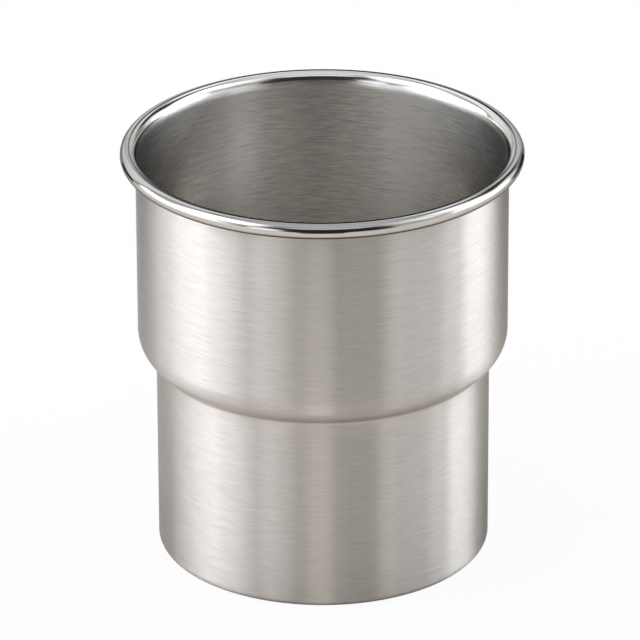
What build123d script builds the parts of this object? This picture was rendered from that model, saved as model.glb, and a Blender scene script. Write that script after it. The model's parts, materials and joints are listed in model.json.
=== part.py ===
from build123d import *
import math
import os

# A deep drawn steel cup. One sheet is drawn into two diameters joined by a round shoulder,
# and its lip is flared and rolled outwards into a bead.
# Lengths are millimetres, angles are degrees. The cup stands on Z = 0 with its axis along Z.

# Sheet
SHEET = 0.6  # thickness, the same everywhere

# Drawn body, measured on the outside
LOWER_DIAMETER = 75.0
STEP = 4.1  # how far the shoulder stands out from the lower wall
LOWER_HEIGHT = 45.2  # from the base to the top of the straight lower wall
HEIGHT = 96.5  # from the base to the top of the bead
BASE_RADIUS = 2.0  # round between the base and the lower wall
NECK_RADIUS = 1.2  # hollow round where the lower wall turns out under the shoulder
SHOULDER_RADIUS = 7.8  # full round between the neck and the upper wall

# Rolled lip
BEAD_DIAMETER = 3.6  # across the rolled sheet
FLARE = 0.4  # how far the mouth leans out before the sheet rolls over
FLARE_RADIUS = 5.4  # outside radius of that lean
SEAM_GAP = 0.25  # left between the rolled-in edge and the wall

# Worked out from the sizes above
LOWER_RADIUS = LOWER_DIAMETER / 2
CURL_RADIUS = BEAD_DIAMETER / 2 - SHEET  # the hollow inside the bead

# The neck and the shoulder are two arcs, tangent to each other and to the walls, so the
# angle they share follows from the step.
SHOULDER_ANGLE = math.degrees(math.acos(1 - STEP / (NECK_RADIUS + SHOULDER_RADIUS)))

# The flare and the curl turn the same way. The wall leans by this angle where one becomes the other.
FLARE_ANGLE = math.degrees(math.acos(1 - FLARE / (FLARE_RADIUS - CURL_RADIUS)))

# The curl ends where the outside of the bead comes within the gap of the wall.
BEAD_REACH = BEAD_DIAMETER / 2 + FLARE - SHEET - SEAM_GAP
CURL_END = 180 + math.degrees(math.acos(-BEAD_REACH / (BEAD_DIAMETER / 2)))
CURL_ANGLE = CURL_END - FLARE_ANGLE

# The straight upper wall ends below the bead by the rise of the flare and the curl.
LIP_RISE = (FLARE_RADIUS - CURL_RADIUS) * math.sin(math.radians(FLARE_ANGLE)) + BEAD_DIAMETER / 2
UPPER_WALL_TOP = HEIGHT - LIP_RISE


def sheet_face(depth: float) -> list[Edge]:
    """One face of the sheet in the section plane, from the axis out and up to the rolled edge.

    Args:
        depth: how far the face lies inside the cup's outer face.

    Returns:
        Lines and arcs, each tangent to the one before, with X the radius and Y the height.
    """
    base = Line((0, depth), (LOWER_RADIUS - BASE_RADIUS, depth))
    corner = JernArc(base @ 1, base % 1, BASE_RADIUS - depth, 90)
    lower_wall = Line(corner @ 1, (LOWER_RADIUS - depth, LOWER_HEIGHT))
    neck = JernArc(lower_wall @ 1, lower_wall % 1, NECK_RADIUS + depth, -SHOULDER_ANGLE)
    shoulder = JernArc(neck @ 1, neck % 1, SHOULDER_RADIUS - depth, SHOULDER_ANGLE)
    upper_wall = Line(shoulder @ 1, (LOWER_RADIUS + STEP - depth, UPPER_WALL_TOP))
    flare = JernArc(upper_wall @ 1, upper_wall % 1, FLARE_RADIUS + depth, -FLARE_ANGLE)
    curl = JernArc(flare @ 1, flare % 1, CURL_RADIUS + depth, -CURL_ANGLE)
    return [base, corner, lower_wall, neck, shoulder, upper_wall, flare, curl]


def sheet_section() -> Face:
    """The cut sheet from the axis to the rolled edge, in the XZ plane."""
    outside = sheet_face(0)
    inside = sheet_face(SHEET)
    at_axis = Line(outside[0] @ 0, inside[0] @ 0)
    cut_edge = Line(outside[-1] @ 1, inside[-1] @ 1)
    return Plane.XZ * make_face([*outside, cut_edge, *inside, at_axis])


cup = revolve(sheet_section(), Axis.Z)
cup.label = "cup"

os.makedirs("parts", exist_ok=True)
export_step(cup, "parts/cup.step")
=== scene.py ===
"""Looks of a deep drawn steel cup: its rolled sheet, its finishes, and the studio round it."""

import json
import logging
import math
from collections.abc import Mapping
from dataclasses import dataclass, replace
from enum import Enum

import bpy
import numpy as np
from mathutils import Matrix, Vector


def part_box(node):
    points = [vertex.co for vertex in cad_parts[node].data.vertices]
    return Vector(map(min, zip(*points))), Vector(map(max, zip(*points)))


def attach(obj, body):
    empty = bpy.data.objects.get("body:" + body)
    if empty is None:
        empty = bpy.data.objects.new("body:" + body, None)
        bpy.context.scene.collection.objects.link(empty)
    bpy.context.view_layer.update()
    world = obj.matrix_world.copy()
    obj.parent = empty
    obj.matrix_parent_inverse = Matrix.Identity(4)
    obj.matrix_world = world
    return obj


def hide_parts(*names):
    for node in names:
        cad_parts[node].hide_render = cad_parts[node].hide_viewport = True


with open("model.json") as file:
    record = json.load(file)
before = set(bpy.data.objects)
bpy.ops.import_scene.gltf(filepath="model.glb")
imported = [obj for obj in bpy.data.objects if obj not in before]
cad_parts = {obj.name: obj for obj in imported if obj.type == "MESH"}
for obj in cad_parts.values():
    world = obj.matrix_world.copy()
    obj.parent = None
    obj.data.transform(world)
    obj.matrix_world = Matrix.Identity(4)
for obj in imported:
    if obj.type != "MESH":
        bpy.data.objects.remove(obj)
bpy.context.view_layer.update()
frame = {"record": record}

MM_PER_M = 1000
log = logging.getLogger("cup")

Colour = tuple[float, float, float, float]
WHITE: Colour = (1.0, 1.0, 1.0, 1.0)


# Shader maths


class Field:
    """A number that varies over a surface. Arithmetic on fields adds Math nodes to their tree."""

    def __init__(self, nodes: "Nodes", socket: bpy.types.NodeSocket) -> None:
        """Keeps the tree's builder and the output socket that gives the number."""
        self.nodes = nodes
        self.socket = socket

    def maths(self, operation: str, first: "Field | float", second: "Field | float") -> "Field":
        """Adds a Math node.

        Args:
            operation: the node's operation.
            first: its first operand.
            second: its second operand.

        Returns:
            The node's result.
        """
        return self.nodes.field("ShaderNodeMath", {"operation": operation}, {0: first, 1: second}, "Value")

    def __add__(self, other: "Field | float") -> "Field":
        """Sum of the two."""
        return self.maths("ADD", self, other)

    def __radd__(self, other: float) -> "Field":
        """Sum, with a plain number first."""
        return self.maths("ADD", other, self)

    def __sub__(self, other: "Field | float") -> "Field":
        """Difference of the two."""
        return self.maths("SUBTRACT", self, other)

    def __rsub__(self, other: float) -> "Field":
        """Difference, with a plain number first."""
        return self.maths("SUBTRACT", other, self)

    def __mul__(self, other: "Field | float") -> "Field":
        """Product of the two."""
        return self.maths("MULTIPLY", self, other)

    def __rmul__(self, other: float) -> "Field":
        """Product, with a plain number first."""
        return self.maths("MULTIPLY", other, self)

    def __truediv__(self, other: "Field | float") -> "Field":
        """Quotient of the two."""
        return self.maths("DIVIDE", self, other)

    def __rtruediv__(self, other: float) -> "Field":
        """Quotient, with a plain number first."""
        return self.maths("DIVIDE", other, self)

    def __pow__(self, power: "Field | float") -> "Field":
        """The field raised to a power."""
        return self.maths("POWER", self, power)

    def __floor__(self) -> "Field":
        """The whole number below."""
        return self.maths("FLOOR", self, 0.0)


Setting = Field | bpy.types.NodeSocket | float | tuple[float, ...]

# A Mix node's sockets for numbers, vectors and colours share their names, so these go by number.
MIX_FACTOR, MIX_START, MIX_END, MIX_RESULT = 0, 6, 7, 2


class Nodes:
    """A shader's node tree, with one method that adds any node."""

    def __init__(self, tree: bpy.types.NodeTree) -> None:
        """Empties the tree and keeps it."""
        self.tree = tree
        tree.nodes.clear()

    def add(
        self,
        kind: str,
        settings: Mapping[str, object] | None = None,
        sockets: Mapping[str | int, Setting] | None = None,
    ) -> bpy.types.Node:
        """Adds a node.

        Args:
            kind: the node's type.
            settings: its own properties, which are set first.
            sockets: a value or a link for each input that isn't left at its default.

        Returns:
            The new node.
        """
        node = self.tree.nodes.new(kind)
        for name, value in (settings or {}).items():
            setattr(node, name, value)
        for name, value in (sockets or {}).items():
            source = value.socket if isinstance(value, Field) else value
            if isinstance(source, bpy.types.NodeSocket):
                self.tree.links.new(source, node.inputs[name])
            else:
                node.inputs[name].default_value = source
        return node

    def field(
        self,
        kind: str,
        settings: Mapping[str, object] | None,
        sockets: Mapping[str | int, Setting] | None,
        output: str,
    ) -> Field:
        """Adds a node as add does, for one of its numbers.

        Args:
            kind: the node's type.
            settings: its own properties.
            sockets: a value or a link for each input that isn't left at its default.
            output: the name of the output that gives the number.

        Returns:
            That output.
        """
        return Field(self, self.add(kind, settings, sockets).outputs[output])

    def mark(self, name: str) -> Field:
        """The vertex attribute of that name."""
        return self.field("ShaderNodeAttribute", {"attribute_name": name}, None, "Fac")

    def place(self) -> tuple[Field, Field]:
        """Reads where the surface point is.

        Returns:
            Its X and Y in the object's own axes, in metres.
        """
        point = self.add("ShaderNodeTexCoord").outputs["Object"]
        axes = self.add("ShaderNodeSeparateXYZ", None, {"Vector": point}).outputs
        return Field(self, axes["X"]), Field(self, axes["Y"])

    def blend(self, share: Field, start: Setting, end: Setting) -> bpy.types.NodeSocket:
        """Mixes two colours.

        Args:
            share: 0 for the first and 1 for the second. Past those it stays at the nearer one.
            start: the first colour.
            end: the second colour.

        Returns:
            The colour between them.
        """
        colours = {MIX_FACTOR: share, MIX_START: start, MIX_END: end}
        return self.add("ShaderNodeMix", {"data_type": "RGBA"}, colours).outputs[MIX_RESULT]

    def mix(
        self, share: Field, start: bpy.types.NodeSocket, end: bpy.types.NodeSocket
    ) -> bpy.types.NodeSocket:
        """Mixes two shaders, by a share that is 0 for the first and 1 for the second."""
        return self.add("ShaderNodeMixShader", None, {0: share, 1: start, 2: end}).outputs["Shader"]

    def surface(self, shader: bpy.types.NodeSocket) -> None:
        """Sends a shader to the material's surface."""
        self.add("ShaderNodeOutputMaterial", None, {"Surface": shader})


def blank_material(name: str) -> tuple[bpy.types.Material, Nodes]:
    """Makes a material with an empty tree.

    Args:
        name: the finish's name.

    Returns:
        The material and the builder of its tree.
    """
    material = bpy.data.materials.new(name)
    material.use_nodes = True
    return material, Nodes(material.node_tree)


# Finishes

# Vertex attributes
ALONG = "along_section"  # metres along the sheet from the axis
SMOOTH = "smoothness"  # how far the brushing is ironed out, 0 to 1
CREVICE_SHADE = "crevice"  # painted shade in turned-in corners that light doesn't reach, 0 to 1
SHEEN = "sheen"  # painted reflection bands: how much lighter the brushing is painted at this bearing, as a share of its range

ON_AXIS = 1e-12  # square metres, added where a division by the radius would fail on the axis
NOISE_MIDDLE = 0.5  # a noise texture's average


@dataclass(frozen=True)
class TurnedGrain:
    """Fine lines round the cup's axis, as a brush leaves them on a turning part."""

    length: float  # metres round the wall before a line fades
    width: float  # metres along the section
    row_step: float = 3.7  # how far apart in the noise two neighbouring lines are read

    def field(self, nodes: Nodes, wall_radius: float) -> Field:
        """Noise that runs round the axis in separate rows.

        The point on the unit circle at the surface point's bearing, times the number of line lengths
        in a radian, gives two of the noise's coordinates. The third is the number of the row, counted
        along the section in line widths, so that a line has clean edges and nothing in common with the
        next. A full turn comes back to the same circle point, so the lines have no seam.

        Args:
            nodes: the tree to add to.
            wall_radius: radius at which a line has its stated length.

        Returns:
            The noise, about 0 on average.
        """
        x, y = nodes.place()
        turns = (wall_radius / self.length) / (x * x + y * y + ON_AXIS) ** 0.5
        row = math.floor(nodes.mark(ALONG) / self.width) * self.row_step
        point = nodes.add("ShaderNodeCombineXYZ", None, {"X": x * turns, "Y": y * turns, "Z": row})
        noise = {"Vector": point.outputs["Vector"], "Scale": 1.0, "Detail": 1.0, "Roughness": 0.5}
        return nodes.field("ShaderNodeTexNoise", {"noise_dimensions": "3D"}, noise, "Fac") - NOISE_MIDDLE


@dataclass(frozen=True)
class BrushedSteel:
    """Sheet brushed round its axis: reflections stay sharp along the lines and spread across them."""

    name: str
    dark: Colour = (0.204, 0.186, 0.168, 1.0)
    light: Colour = (0.893, 0.828, 0.757, 1.0)
    tone: float = 0.55  # place between dark and light that the grain is centred on
    contrast: float = 0.42  # how much of the range from dark to light the grain takes
    edge: Colour = (0.58, 0.58, 0.58, 1.0)  # how much of the glancing reflection is kept
    roughness: float = 0.35
    roughness_swing: float = 0.06
    corner_shade: Colour = (0.40, 0.36, 0.32, 1.0)  # painted contact shade, in the corner that the cup stands on
    ironed: Colour = (0.61, 0.549, 0.488, 1.0)  # where drawing smoothed the sheet and the brush missed it
    ironed_roughness: float = 0.26
    anisotropy: float = 1.0
    quarter_turn: float = 0.25  # turns the spread from along the lines to across them
    wall_radius: float = 0.041
    hairlines: TurnedGrain = TurnedGrain(length=0.005, width=0.00012)

    def material(self) -> bpy.types.Material:
        """Makes the material.

        The grain and the painted sheen bands move the colour between dark and light, and the grain
        swings the roughness. Ironing takes both to values of its own, and painted shade in a
        turned-in corner takes the colour to its own.

        Returns:
            The material.
        """
        material, nodes = blank_material(self.name)
        grain = self.hairlines.field(nodes, self.wall_radius)
        smooth = nodes.mark(SMOOTH)
        tone = self.tone + grain * self.contrast + nodes.mark(SHEEN)
        clean = nodes.blend(smooth, nodes.blend(tone, self.dark, self.light), self.ironed)
        rough = self.roughness + grain * self.roughness_swing
        steel = {
            "Base Color": nodes.blend(nodes.mark(CREVICE_SHADE), clean, self.corner_shade),
            "Metallic": 1.0,
            "Roughness": rough + (self.ironed_roughness - rough) * smooth,
            "Specular Tint": self.edge,
            "Anisotropic": self.anisotropy,
            "Anisotropic Rotation": self.quarter_turn,
        }
        nodes.surface(nodes.add("ShaderNodeBsdfPrincipled", None, steel).outputs["BSDF"])
        return material


@dataclass(frozen=True)
class PolishedSteel:
    """The rolled bead: bright, with faint polishing lines, and painted in shade where it turns in under
    itself.
    """

    name: str
    front: Colour = (0.55, 0.515, 0.466, 1.0)  # the side towards the camera, painted darker than the back as shade
    back: Colour = (0.92, 0.866, 0.79, 1.0)
    line_share: float = 0.3  # how much of the range from front to back the lines take
    # painted shade where the curl turns in under itself
    curl_shade: Colour = (0.05, 0.041, 0.032, 1.0)
    edge: Colour = (0.22, 0.22, 0.22, 1.0)  # how much of the glancing reflection is kept
    roughness: float = 0.12
    roughness_swing: float = 0.08
    dull_roughness: float = 0.35
    wall_radius: float = 0.0432
    lines: TurnedGrain = TurnedGrain(length=0.02, width=0.00030)

    def material(self) -> bpy.types.Material:
        """Makes the material.

        The colour passes evenly from the front of the cup to its back, painted darkest at the front as
        shade, and is moved a little by the polishing lines, which swing the roughness too. In a turned-in
        corner the colour takes a painted shade and the roughness a value of its own.

        Returns:
            The material.
        """
        material, nodes = blank_material(self.name)
        line = self.lines.field(nodes, self.wall_radius)
        crevice = nodes.mark(CREVICE_SHADE)
        _, depth = nodes.place()
        share = 0.5 + depth / (2 * self.wall_radius) + line * self.line_share
        rough = self.roughness + line * self.roughness_swing
        steel = {
            "Base Color": nodes.blend(crevice, nodes.blend(share, self.front, self.back), self.curl_shade),
            "Metallic": 1.0,
            "Roughness": rough + (self.dull_roughness - rough) * crevice,
            "Specular Tint": self.edge,
        }
        nodes.surface(nodes.add("ShaderNodeBsdfPrincipled", None, steel).outputs["BSDF"])
        return material


# Meshes

ONE_QUAD = np.arange(4).reshape(1, 4)
NO_FANS = np.zeros((0, 3), int)


def mesh_object(
    name: str, points: np.ndarray, quads: np.ndarray, fans: np.ndarray = NO_FANS
) -> bpy.types.Object:
    """Puts arrays of points, quads and triangles into a new object at the origin.

    Args:
        name: the object's name.
        points: (n, 3) places in metres.
        quads: (q, 4) point numbers, anticlockwise from outside.
        fans: (t, 3) point numbers, likewise.

    Returns:
        The object, linked to the scene.
    """
    mesh = bpy.data.meshes.new(name)
    corners = np.concatenate([quads.ravel(), fans.ravel()])
    starts = np.concatenate([np.arange(len(quads)) * 4, quads.size + np.arange(len(fans)) * 3])
    mesh.vertices.add(len(points))
    mesh.vertices.foreach_set("co", points.astype(np.float32).ravel())
    mesh.loops.add(len(corners))
    mesh.loops.foreach_set("vertex_index", corners.astype(np.int32))
    mesh.polygons.add(len(starts))
    mesh.polygons.foreach_set("loop_start", starts.astype(np.int32))
    mesh.update(calc_edges=True)
    mesh.validate()
    thing = bpy.data.objects.new(name, mesh)
    bpy.context.scene.collection.objects.link(thing)
    return thing


def write_mark(mesh: bpy.types.Mesh, name: str, values: np.ndarray) -> None:
    """Gives every point of a mesh a value.

    Args:
        mesh: the mesh.
        name: the vertex attribute's name.
        values: (n,) numbers or (n, 4) colours.
    """
    kind, item = ("FLOAT", "value") if values.ndim == 1 else ("FLOAT_COLOR", "color")
    attribute = mesh.attributes.new(name, kind, "POINT")
    attribute.data.foreach_set(item, values.astype(np.float32).ravel())


def window(offset: np.ndarray, half: float, soft: float) -> np.ndarray:
    """1 within half of the middle and 0 beyond, with a smooth edge.

    The edge is the cubic 3t^2 - 2t^3 of the distance, over soft on either side of half.

    Args:
        offset: distance from the window's middle.
        half: half its width.
        soft: half the width of its edge.

    Returns:
        The window's height at each offset.
    """
    t = np.clip((half + soft - np.abs(offset)) / (2 * soft), 0.0, 1.0)
    return t * t * (3 - 2 * t)


def turn_between(bearing: np.ndarray, middle: float) -> np.ndarray:
    """How far each bearing is from the middle one, in degrees from -180 to 180."""
    return (bearing - middle + 180) % 360 - 180


# Cup


@dataclass(frozen=True)
class Sheen:
    """A stripe up the sheet, painted lighter as reflected light or darker as shade.

    Angles are degrees. A bearing is 0 at the front and positive to the right.
    """

    bearing: float
    half_width: float
    edge: float
    amount: float

    def share(self, facing: np.ndarray) -> np.ndarray:
        """What it adds at each bearing."""
        return self.amount * window(turn_between(facing, self.bearing), self.half_width, self.edge)


class Finish(Enum):
    """The cup's material slots, in order."""

    OUTSIDE = 0
    INSIDE = 1
    BEAD = 2


@dataclass(frozen=True)
class Run:
    """A stretch of the section with one curvature."""

    length: float  # along the outer face, metres
    turn: float  # radians, positive towards the inside of the cup
    polished: bool = False
    smooth: float = 0.0
    # painted shade of a turned-in corner, 0 to 1
    crevice: float = 0.0

    def steps(self, bend_step: float, straight_step: float) -> int:
        """How many equal pieces the run is cut into."""
        return max(1, math.ceil(abs(self.turn) / bend_step), math.ceil(self.length / straight_step))

    def cut(self, share: float, **changes: float) -> tuple["Run", "Run"]:
        """Cuts the run in two, with the same curvature.

        Args:
            share: how much of the length the first run gets.
            changes: what the second run has otherwise.

        Returns:
            The two runs.
        """
        first = replace(self, length=self.length * share, turn=self.turn * share)
        rest = replace(self, length=self.length - first.length, turn=self.turn - first.turn, **changes)
        return first, rest


@dataclass(frozen=True)
class Section:
    """The sheet's cut outline."""

    points: np.ndarray  # (n, 2) radius and height
    marks: dict[str, np.ndarray]  # vertex attributes by name
    finish: np.ndarray  # slot of the stretch between each point and the next


@dataclass
class Cup:
    """One drawn sheet with a shoulder and a rolled lip. Sizes are the outside's, in metres."""

    lower_radius: float
    base_round: float
    lower_height: float
    height: float
    sheet: float = 0.0006
    step: float = 0.0041
    neck_round: float = 0.0012
    shoulder_round: float = 0.0078
    bead: float = 0.0036
    flare: float = 0.0004
    flare_round: float = 0.0054
    seam_gap: float = 0.00025
    shaded_base_share: float = 0.72  # share of the base's round that takes the painted contact shade
    base_shade_strength: float = 0.8  # how strong that painted shade is, 0 to 1
    neck_ironing: float = 0.6  # how smooth drawing leaves the sheet there, 0 to 1
    tucked_shoulder: float = 0.52  # share of the shoulder that is tucked under, out of the brush's reach
    shoulder_ironing: float = 0.8
    ironed_fade: float = 0.00006  # half the length over which ironing passes into the brushing
    brushed_flare: float = 0.72  # share of the flare that the brushing covers
    flare_ironing: float = 0.25
    polished_curl: float = 0.65  # share of the curl that the polishing reaches; the rest is painted in shade
    shade_fade: float = 0.0003  # half the length over which the painted shade of a turned-in corner fades in
    # painted reflection bands, the same on the outside and the inside at each bearing
    sheens: tuple[Sheen, ...] = (
        Sheen(-1.2, 4.2, 3.0, 0.31),  # light, up the middle of the front
        Sheen(-9.5, 3.5, 2.5, 0.07),  # fainter, to the left of it
        Sheen(13.0, 5.0, 1.5, -0.06),  # dark, to the right of it
        Sheen(22.5, 3.0, 2.0, 0.06),  # light, past the dark stripe
        Sheen(-23.5, 2.5, 2.5, -0.06),  # dark, at the front left
        Sheen(49.5, 2.5, 2.0, 0.085),  # light, at the front right
        Sheen(73.0, 4.0, 3.0, 0.05),  # light, at the right
        Sheen(-103.0, 13.0, 8.0, -0.15),  # dark, just past the left side
        Sheen(103.0, 13.0, 8.0, -0.18),  # dark, just past the right side
        Sheen(-150.0, 8.0, 8.0, 0.19),  # light, at the back left
        Sheen(-142.0, 15.0, 8.0, 0.09),  # wider and fainter, round that one
        Sheen(152.0, 9.0, 8.0, 0.21),  # light, at the back right
        Sheen(146.0, 14.0, 8.0, 0.10),  # wider and fainter, round that one
        Sheen(178.0, 12.0, 8.0, -0.08),  # dark, up the middle of the back
    )
    bend_step: float = math.radians(3.0)
    straight_step: float = 0.005
    sides: int = 224
    crease: float = math.radians(45)  # a sharper turn than this keeps its edge in the shading

    @classmethod
    def from_frame(cls) -> "Cup":
        """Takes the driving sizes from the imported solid's box and its lower wall mount.

        Returns:
            A cup of those sizes.
        """
        wall = next(mount for mount in frame["record"]["mounts"] if mount["name"] == "lower_wall")
        radius, length = wall["dims"]["r_mm"] / MM_PER_M, wall["dims"]["length_mm"] / MM_PER_M
        middle = wall["pos_m"][2]
        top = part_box("cup")[1][2]
        return cls(radius, middle - length / 2, middle + length / 2, top)

    def runs(self) -> list[Run]:
        """Works out the section's runs.

        The neck and the shoulder turn by the same angle, whose versed sine is the step over the sum of
        their radii. The flare and the curl turn the same way, and the curl goes on until the bead is a
        gap away from the wall.

        Returns:
            The runs from the centre of the base to the rolled edge.
        """
        shoulder = math.acos(1 - self.step / (self.neck_round + self.shoulder_round))
        shoulder_rise = (self.neck_round + self.shoulder_round) * math.sin(shoulder)
        bead_radius = self.bead / 2
        curl_round = bead_radius - self.sheet
        lean = math.acos(1 - self.flare / (self.flare_round - curl_round))
        lip_rise = (self.flare_round - curl_round) * math.sin(lean) + bead_radius
        reach = bead_radius + self.flare - self.sheet - self.seam_gap
        curl = math.pi + math.acos(-reach / bead_radius) - lean
        upper = self.height - lip_rise - self.lower_height - shoulder_rise
        base_corner = Run(self.base_round * math.pi / 2, math.pi / 2, crevice=self.base_shade_strength)
        round_shoulder = Run(self.shoulder_round * shoulder, shoulder, smooth=self.shoulder_ironing)
        flared_lip = Run(self.flare_round * lean, -lean, smooth=self.flare_ironing)
        rolled_lip = Run(curl_round * curl, -curl, polished=True)
        # The base's round and the end of the curl are painted in shade, as turned-in corners.
        return [
            Run(self.lower_radius - self.base_round, 0.0),
            *base_corner.cut(self.shaded_base_share, crevice=0.0),
            Run(self.lower_height - self.base_round, 0.0),
            Run(self.neck_round * shoulder, -shoulder, smooth=self.neck_ironing),
            *round_shoulder.cut(self.tucked_shoulder, smooth=0.0),
            Run(upper, 0.0),
            *flared_lip.cut(self.brushed_flare, polished=True),
            *rolled_lip.cut(self.polished_curl, crevice=1.0),
        ]

    def section(self) -> Section:
        """Draws the sheet's outline in the plane of radius and height.

        Each station has a distance along the outer face and a heading. A step between stations is a
        chord of length ds sinc(dh / 2) at the middle heading, which is exact on lines and arcs, and the
        outer face is their sum. The inner face stands off it by the sheet's thickness along the normal.

        Returns:
            The outline, out along the outside and back along the inside.
        """
        runs = self.runs()
        counts = [run.steps(self.bend_step, self.straight_step) for run in runs]
        ds = np.repeat([run.length / n for run, n in zip(runs, counts)], counts)
        dh = np.repeat([run.turn / n for run, n in zip(runs, counts)], counts)
        heading = np.concatenate([[0.0], np.cumsum(dh)])
        along = np.concatenate([[0.0], np.cumsum(ds)])
        middle = heading[:-1] + dh / 2
        chord = ds * np.sinc(dh / (2 * np.pi))
        outer = np.zeros((len(along), 2))
        outer[1:] = np.cumsum(np.stack([chord * np.cos(middle), chord * np.sin(middle)], 1), 0)
        inner = outer - self.sheet * np.stack([np.sin(heading), -np.cos(heading)], 1)
        points = np.concatenate([outer, inner[::-1]])
        points[[0, -1], 0] = 0.0
        polished = np.repeat([run.polished for run in runs], counts)
        outside = np.where(polished, Finish.BEAD.value, Finish.OUTSIDE.value)
        inside = np.where(polished, Finish.BEAD.value, Finish.INSIDE.value)
        ironed = np.repeat([run.smooth for run in runs], counts)
        # painted shade of the turned-in corners, for each step
        missed = np.repeat([run.crevice for run in runs], counts)
        marks = {
            ALONG: np.concatenate([along, 2 * along[-1] + self.sheet - along[::-1]]),
            SMOOTH: self.eased(ironed, along, self.ironed_fade),
            CREVICE_SHADE: self.eased(missed, along, self.shade_fade),
        }
        return Section(points, marks, np.concatenate([outside, outside[-1:], inside[::-1]]))

    @staticmethod
    def eased(steps: np.ndarray, along: np.ndarray, reach: float) -> np.ndarray:
        """Turns a value of each step into one of each station, out along the sheet and back.

        The value's running total is read a little before and after each station, and the difference is
        the mean over that reach, so a jump becomes a ramp.

        Args:
            steps: the value between each station and the next.
            along: the stations' distances along the sheet.
            reach: how far before and after, in metres.

        Returns:
            The eased value at each station of the outline.
        """
        total = np.concatenate([[0.0], np.cumsum(steps * np.diff(along))])
        before = np.clip(along - reach, 0.0, along[-1])
        after = np.clip(along + reach, 0.0, along[-1])
        mean = (np.interp(after, along, total) - np.interp(before, along, total)) / (after - before)
        return np.concatenate([mean, mean[::-1]])

    def angles(self) -> np.ndarray:
        """The sides' angles round the axis, in radians from +X."""
        return np.linspace(0, 2 * np.pi, self.sides, endpoint=False)

    def build(self) -> bpy.types.Object:
        """Carries the section round the axis.

        A ring point is (radius cos t, radius sin t, height) at the station's radius and height and the
        angle t. The first and last stations lie on the axis and are one point each, closed by fans.

        Returns:
            The cup's shell, one closed surface.
        """
        section = self.section()
        outline = section.points
        rings = outline[1:-1]
        count = len(rings)
        angle = self.angles()
        radius, height = rings[:, :1], rings[:, 1:]
        grid = np.stack([radius * np.cos(angle), radius * np.sin(angle), height + 0 * angle], -1)
        poles = np.array([[0.0, 0.0, outline[0, 1]], [0.0, 0.0, outline[-1, 1]]])
        points = np.concatenate([grid.reshape(-1, 3), poles])
        here = np.arange(self.sides)
        onward = (here + 1) % self.sides
        low = np.arange(count - 1)[:, None] * self.sides
        high = low + self.sides
        quads = np.stack([low + here, low + onward, high + onward, high + here], -1)
        first, last = count * self.sides, count * self.sides + 1
        top = (count - 1) * self.sides
        fans = np.concatenate([
            np.stack([onward, here, np.full(self.sides, first)], 1),
            np.stack([top + here, top + onward, np.full(self.sides, last)], 1),
        ])
        shell = mesh_object("cup_shell", points, quads.reshape(-1, 4), fans)
        self.describe(shell.data, section)
        return shell

    def describe(self, mesh: bpy.types.Mesh, section: Section) -> None:
        """Writes the section's values to every ring and every face, and keeps the cut edge sharp.

        Args:
            mesh: the shell's mesh, rings first and then the two poles.
            section: the outline that was carried round.
        """
        for name, values in section.marks.items():
            write_mark(mesh, name, np.concatenate([np.repeat(values[1:-1], self.sides), values[[0, -1]]]))
        facing = np.degrees(self.angles()) + 90  # the front is -Y
        stripes = sum(sheen.share(facing) for sheen in self.sheens)
        write_mark(mesh, SHEEN, np.concatenate([np.tile(stripes, len(section.points) - 2), np.zeros(2)]))
        rows = np.concatenate([section.finish[1:-1], section.finish[[0, -1]]])
        mesh.polygons.foreach_set("material_index", np.repeat(rows, self.sides).astype(np.int32))
        mesh.polygons.foreach_set("use_smooth", np.ones(len(mesh.polygons), dtype=bool))
        mesh.set_sharp_from_angle(angle=self.crease)
        mesh.update()

    @staticmethod
    def inside_steel() -> BrushedSteel:
        """The inside's finish: paler than the outside's, with coarser lines that spread light both ways."""
        return BrushedSteel(
            "brushed_inside",
            dark=(0.28, 0.265, 0.244, 1.0),
            light=(1.0, 0.96, 0.90, 1.0),
            tone=0.71,
            contrast=1.0,
            edge=(0.06, 0.06, 0.06, 1.0),
            roughness=0.31,
            anisotropy=0.6,
            hairlines=TurnedGrain(length=0.004, width=0.00018),
        )

    def dress(self, shell: bpy.types.Object) -> None:
        """Gives the shell its finishes, in the order of Finish.

        Args:
            shell: the cup's shell.
        """
        finishes = {
            Finish.OUTSIDE: BrushedSteel("brushed_outside"),
            Finish.INSIDE: self.inside_steel(),
            Finish.BEAD: PolishedSteel("polished_bead"),
        }
        for finish in Finish:
            shell.data.materials.append(finishes[finish].material())


# Studio

# Tints of the panels' light
COOL = (0.92, 0.98, 1.08)
COLD = (0.905, 0.99, 1.11)


@dataclass(frozen=True)
class Panel:
    """A soft-edged patch of the light tent.

    Angles are degrees. A bearing is 0 at the camera and positive to the right.
    """

    bearing: float
    half_width: float
    side_edge: float
    low: float  # elevation of its lower edge
    high: float  # elevation of its upper edge
    rise_edge: float
    radiance: float  # added to the tent's own, so a negative one is a black card
    tint: tuple[float, float, float] = COOL

    def glow(self, bearing: np.ndarray, elevation: np.ndarray) -> np.ndarray:
        """Works out its light, the product of a window in each angle, times its tint.

        Args:
            bearing: bearings of the tent's points.
            elevation: their elevations.

        Returns:
            Red, green and blue at each point.
        """
        across = window(turn_between(bearing, self.bearing), self.half_width, self.side_edge)
        rise = window(elevation - (self.low + self.high) / 2, (self.high - self.low) / 2, self.rise_edge)
        return (self.radiance * across * rise)[..., None] * np.array(self.tint)


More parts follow.
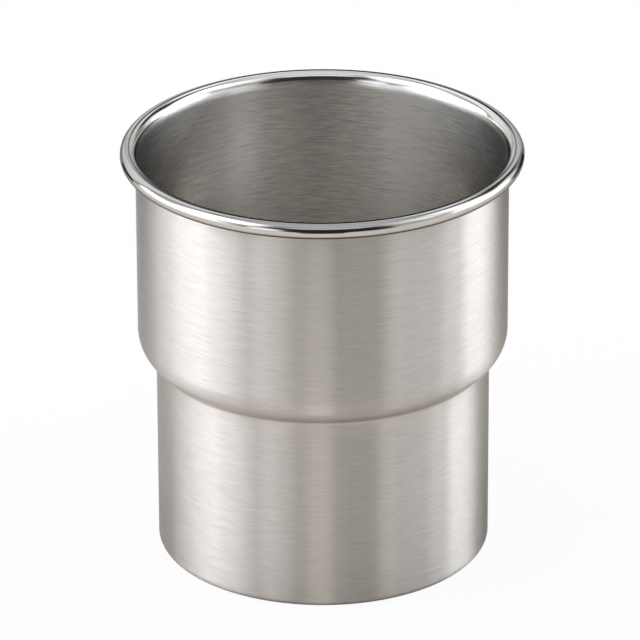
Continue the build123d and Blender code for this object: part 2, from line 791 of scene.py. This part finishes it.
# The tent's panels, by where they hang as the camera sees it
OVERHEAD = (
    Panel(0.0, 90.0, 12.0, 62.0, 100.0, 8.0, 0.75),  # in front
    Panel(180.0, 90.0, 12.0, 62.0, 100.0, 8.0, 0.66),  # behind
)
LEFT = (
    Panel(-81.0, 20.0, 18.0, -20.0, 20.0, 8.0, 3.4, COLD),  # low, soft
    Panel(-83.0, 11.0, 3.0, -20.0, 20.0, 8.0, 2.1, COLD),  # low, its middle
    Panel(-81.0, 37.0, 2.5, -20.0, 20.0, 8.0, 0.55),  # low and wide
    Panel(-105.0, 13.0, 2.5, 7.0, 24.0, 5.0, 2.9),  # low, towards the back
    Panel(-32.0, 9.0, 4.0, -20.0, 20.0, 8.0, 1.8),  # low, beside the camera
    Panel(-58.0, 18.0, 12.0, 26.0, 60.0, 6.0, 3.1),  # high, towards the front
    Panel(-78.0, 14.0, 6.0, 24.0, 58.0, 6.0, 3.4),  # high
    Panel(-104.0, 14.0, 8.0, 24.0, 58.0, 6.0, 0.6),  # high, towards the back
)
RIGHT = (
    Panel(105.0, 10.0, 10.0, -20.0, 20.0, 8.0, 3.6, COLD),  # low, soft
    Panel(105.0, 11.0, 5.0, -20.0, 20.0, 8.0, 1.6, COLD),  # low, its middle
    Panel(99.0, 24.0, 3.0, -20.0, 20.0, 8.0, 2.4, COLD),  # low and wide
    Panel(126.0, 9.0, 4.0, 4.0, 30.0, 4.0, 1.1),  # low, towards the back
    Panel(143.0, 9.0, 5.0, 9.0, 23.0, 3.0, 0.4),  # low, further back
    Panel(57.0, 18.0, 2.5, -20.0, 20.0, 8.0, 0.78),  # low, towards the front
    Panel(54.0, 15.0, 10.0, 26.0, 60.0, 6.0, 1.0),  # high, towards the front
    Panel(74.0, 14.0, 6.0, 24.0, 58.0, 6.0, 0.9),  # high
    Panel(97.0, 16.0, 8.0, 24.0, 58.0, 6.0, 1.9),  # high, towards the back
)
FRONT = (
    Panel(4.0, 30.0, 10.0, 43.0, 57.0, 4.0, 1.05),  # high, over the camera
)
BEHIND = (
    Panel(168.0, 30.0, 6.0, 45.0, 60.0, 3.0, 0.9),  # high
    Panel(162.0, 13.0, 5.0, 41.0, 56.0, 3.0, 0.4),  # high, to the right
    Panel(165.0, 12.0, 4.0, -20.0, 40.0, 4.0, 0.95),  # to the right
    Panel(-143.0, 20.0, 5.0, 4.0, 60.0, 3.0, 1.05),  # to the left
    Panel(-160.0, 10.0, 4.0, 7.0, 14.0, 3.0, 0.4),  # low, to the left
    Panel(-169.0, 4.0, 3.0, 4.0, 19.0, 3.0, 0.8),  # low, left of the middle
    Panel(-173.0, 8.0, 4.0, 13.0, 32.0, 3.0, 1.0),  # in the middle
)
BLACK_CARDS = (
    Panel(180.0, 4.0, 1.5, -20.0, 19.0, 1.5, -2.0),  # straight behind, low
    Panel(180.0, 1.3, 1.0, 19.0, 28.0, 1.5, -1.5),  # straight behind, narrow
    Panel(180.0, 8.0, 2.0, 29.0, 46.0, 1.5, -2.0),  # straight behind, high
)


@dataclass(frozen=True)
class LightTent:
    """A dome of white cloth round the cup, lit from outside, which the camera looks through."""

    radius: float = 1.5
    lowest: float = -4.0  # elevation of its hem, degrees
    level: float = 0.03  # radiance where no panel adds to it
    columns: int = 288
    rows: int = 94
    panels: tuple[Panel, ...] = OVERHEAD + LEFT + RIGHT + FRONT + BEHIND + BLACK_CARDS

    def cloth(self) -> bpy.types.Material:
        """Makes the cloth, which gives off the light that its points are marked with.

        Returns:
            The material.
        """
        material, nodes = blank_material("tent_cloth")
        colour = nodes.add("ShaderNodeAttribute", {"attribute_name": "glow"}).outputs["Color"]
        light = {"Color": colour, "Strength": 1.0}
        nodes.surface(nodes.add("ShaderNodeEmission", None, light).outputs["Emission"])
        return material

    def build(self) -> bpy.types.Object:
        """Makes the dome, a grid of bearing and elevation, with its light in a colour attribute.

        A point is radius times (cos e sin b, -cos e cos b, sin e) at the bearing b and the elevation e.

        Returns:
            The dome.
        """
        across = np.linspace(-180, 180, self.columns + 1)
        up = np.linspace(self.lowest, 90, self.rows + 1)
        bearing, elevation = np.meshgrid(across, up, indexing="ij")
        b, e = np.radians(bearing), np.radians(elevation)
        points = self.radius * np.stack([np.cos(e) * np.sin(b), -np.cos(e) * np.cos(b), np.sin(e)], -1)
        number = np.arange(bearing.size).reshape(bearing.shape)
        quads = np.stack([number[:-1, :-1], number[:-1, 1:], number[1:, 1:], number[1:, :-1]], -1)
        tent = mesh_object("light_tent", points.reshape(-1, 3), quads.reshape(-1, 4))
        light = self.level + sum(panel.glow(bearing, elevation) for panel in self.panels)
        glow = np.ones((bearing.size, 4))
        glow[:, :3] = np.maximum(light, 0.0).reshape(-1, 3)
        write_mark(tent.data, "glow", glow)
        tent.data.materials.append(self.cloth())
        tent.visible_camera = False
        return tent


@dataclass(frozen=True)
class Flag:
    """A black card on the floor, seen only in the metal, that darkens part of what the bead mirrors."""

    bearing: float  # degrees, as a panel's
    half_width: float  # degrees
    near: float  # metres from the cup's axis
    far: float

    def build(self, height: float, black: bpy.types.Material) -> bpy.types.Object:
        """Lays the card, with its corners at both distances and on both sides of its bearing.

        Args:
            height: how far it lies above the cup's base.
            black: its material.

        Returns:
            The card.
        """
        bearing = np.radians(self.bearing + self.half_width * np.array([-1, -1, 1, 1]))
        reach = np.array([self.near, self.far, self.far, self.near])
        points = np.stack([reach * np.sin(bearing), -reach * np.cos(bearing), np.full(4, height)], 1)
        card = mesh_object(f"flag_{self.bearing:.0f}", points, ONE_QUAD)
        card.data.materials.append(black)
        card.visible_camera = False
        card.visible_diffuse = False
        card.visible_shadow = False
        return card


@dataclass(frozen=True)
class Studio:
    """A white floor in a white room, with the light tent over the cup."""

    tent: LightTent = LightTent()
    paper: Colour = (0.93, 0.865, 0.785, 1.0)
    shadow_paper: Colour = (0.67, 0.62, 0.558, 1.0)  # painted shadow: the paper's colour close to the cup
    near_radius: float = 0.07  # where it is halfway between the two, metres
    near_fall: float = 3.0  # how sharply it passes from one to the other
    floor_reach: float = 12.0
    floor_drop: float = 0.00005  # how far the floor lies below the cup's base, and the flags above it
    white_to_camera: float = 0.95  # share of the floor that shadows don't reach, as the camera sees it
    white_to_metal: float = 0.06  # the same, as reflections see it
    flag_black: Colour = (0.02, 0.02, 0.02, 1.0)
    flags: tuple[Flag, ...] = (
        Flag(0.0, 12.4, 0.36, 1.40),  # in front
        Flag(-134.0, 10.0, 0.34, 1.45),  # behind, to the left
        Flag(138.0, 12.0, 0.34, 1.45),  # behind, to the right
    )

    def floor_white(self) -> bpy.types.Material:
        """Makes the floor's material.

        It is paper with a painted shadow, darker close to the cup: the shadow paper's share is
        1 / (1 + (d / r)^6) at the distance d, with the near radius r and twice the fall as the power. To
        the camera it is nearly all plain white, and to reflections a little of it is. From below it is
        clear, so that the underside of the cup can be looked at.

        Returns:
            The material.
        """
        material, nodes = blank_material("floor_white")
        x, y = nodes.place()
        close = 1 / (1 + ((x * x + y * y) / self.near_radius**2) ** self.near_fall)
        colour = nodes.blend(close, self.paper, self.shadow_paper)
        paper = nodes.add("ShaderNodeBsdfDiffuse", None, {"Color": colour}).outputs["BSDF"]
        white = {"Color": WHITE, "Strength": 1.0}
        glow = nodes.add("ShaderNodeEmission", None, white).outputs["Emission"]
        clear = nodes.add("ShaderNodeBsdfTransparent").outputs["BSDF"]
        rays = nodes.add("ShaderNodeLightPath").outputs
        kinds = ("Is Camera Ray", "Is Glossy Ray", "Is Transmission Ray")
        camera, glossy, through = (Field(nodes, rays[kind]) for kind in kinds)
        seen = camera * self.white_to_camera + (glossy + through) * self.white_to_metal
        below = nodes.field("ShaderNodeNewGeometry", None, None, "Backfacing")
        nodes.surface(nodes.mix(below, nodes.mix(seen, paper, glow), clear))
        return material

    def floor(self) -> bpy.types.Object:
        """Makes the floor, a square round the axis.

        Returns:
            The floor.
        """
        corners = self.floor_reach * np.array([[-1, -1], [1, -1], [1, 1], [-1, 1]])
        floor = mesh_object("floor", np.insert(corners, 2, -self.floor_drop, axis=1), ONE_QUAD)
        floor.data.materials.append(self.floor_white())
        return floor

    def lay_flags(self) -> None:
        """Lays the black cards, which share one material."""
        material, nodes = blank_material("flag_black")
        black = {"Color": self.flag_black}
        nodes.surface(nodes.add("ShaderNodeBsdfDiffuse", None, black).outputs["BSDF"])
        for flag in self.flags:
            flag.build(self.floor_drop, material)

    def room(self) -> None:
        """Makes the world plain white."""
        world = bpy.data.worlds.new("room")
        world.use_nodes = True
        nodes = Nodes(world.node_tree)
        white = {"Color": WHITE, "Strength": 1.0}
        light = nodes.add("ShaderNodeBackground", None, white).outputs["Background"]
        nodes.add("ShaderNodeOutputWorld", None, {"Surface": light})
        bpy.context.scene.world = world

    def build(self) -> None:
        """Sets up the floor, the flags, the room and the tent."""
        self.floor()
        self.lay_flags()
        self.room()
        self.tent.build()


@dataclass(frozen=True)
class PhotoCamera:
    """A long lens in front of the cup, looking down into it."""

    lens: float = 356.4  # millimetres
    sensor: float = 36.0  # millimetres
    distance: float = 1.4254
    elevation: float = 24.83  # degrees
    roll: float = -0.197  # degrees, positive turns the camera anticlockwise
    aim: tuple[float, float, float] = (-0.00062, 0.0, 0.05353)
    nearest: float = 0.01
    farthest: float = 100.0

    def build(self) -> bpy.types.Object:
        """Places the camera and makes it the scene's own.

        Returns:
            The camera.
        """
        lens = bpy.data.cameras.new("photo_camera")
        lens.lens = self.lens
        lens.sensor_width = self.sensor
        lens.clip_start = self.nearest
        lens.clip_end = self.farthest
        camera = bpy.data.objects.new("photo_camera", lens)
        tilt, roll = math.radians(self.elevation), math.radians(self.roll)
        back = Vector((0.0, -math.cos(tilt), math.sin(tilt)))
        turn = Matrix.Rotation(math.pi / 2 - tilt, 4, "X") @ Matrix.Rotation(roll, 4, "Z")
        camera.matrix_world = Matrix.Translation(Vector(self.aim) + back * self.distance) @ turn
        bpy.context.scene.collection.objects.link(camera)
        bpy.context.scene.camera = camera
        return camera


def main() -> None:
    """Builds the cup, the studio and the camera."""
    logging.basicConfig(level=logging.INFO, format="%(name)s: %(message)s")
    bpy.context.scene.view_settings.view_transform = "Standard"
    cup = Cup.from_frame()
    shell = cup.build()
    cup.dress(shell)
    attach(shell, "root")
    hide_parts("cup")
    log.info("%s: %d faces", shell.name, len(shell.data.polygons))
    Studio().build()
    PhotoCamera().build()


if __name__ == "__main__":
    main()
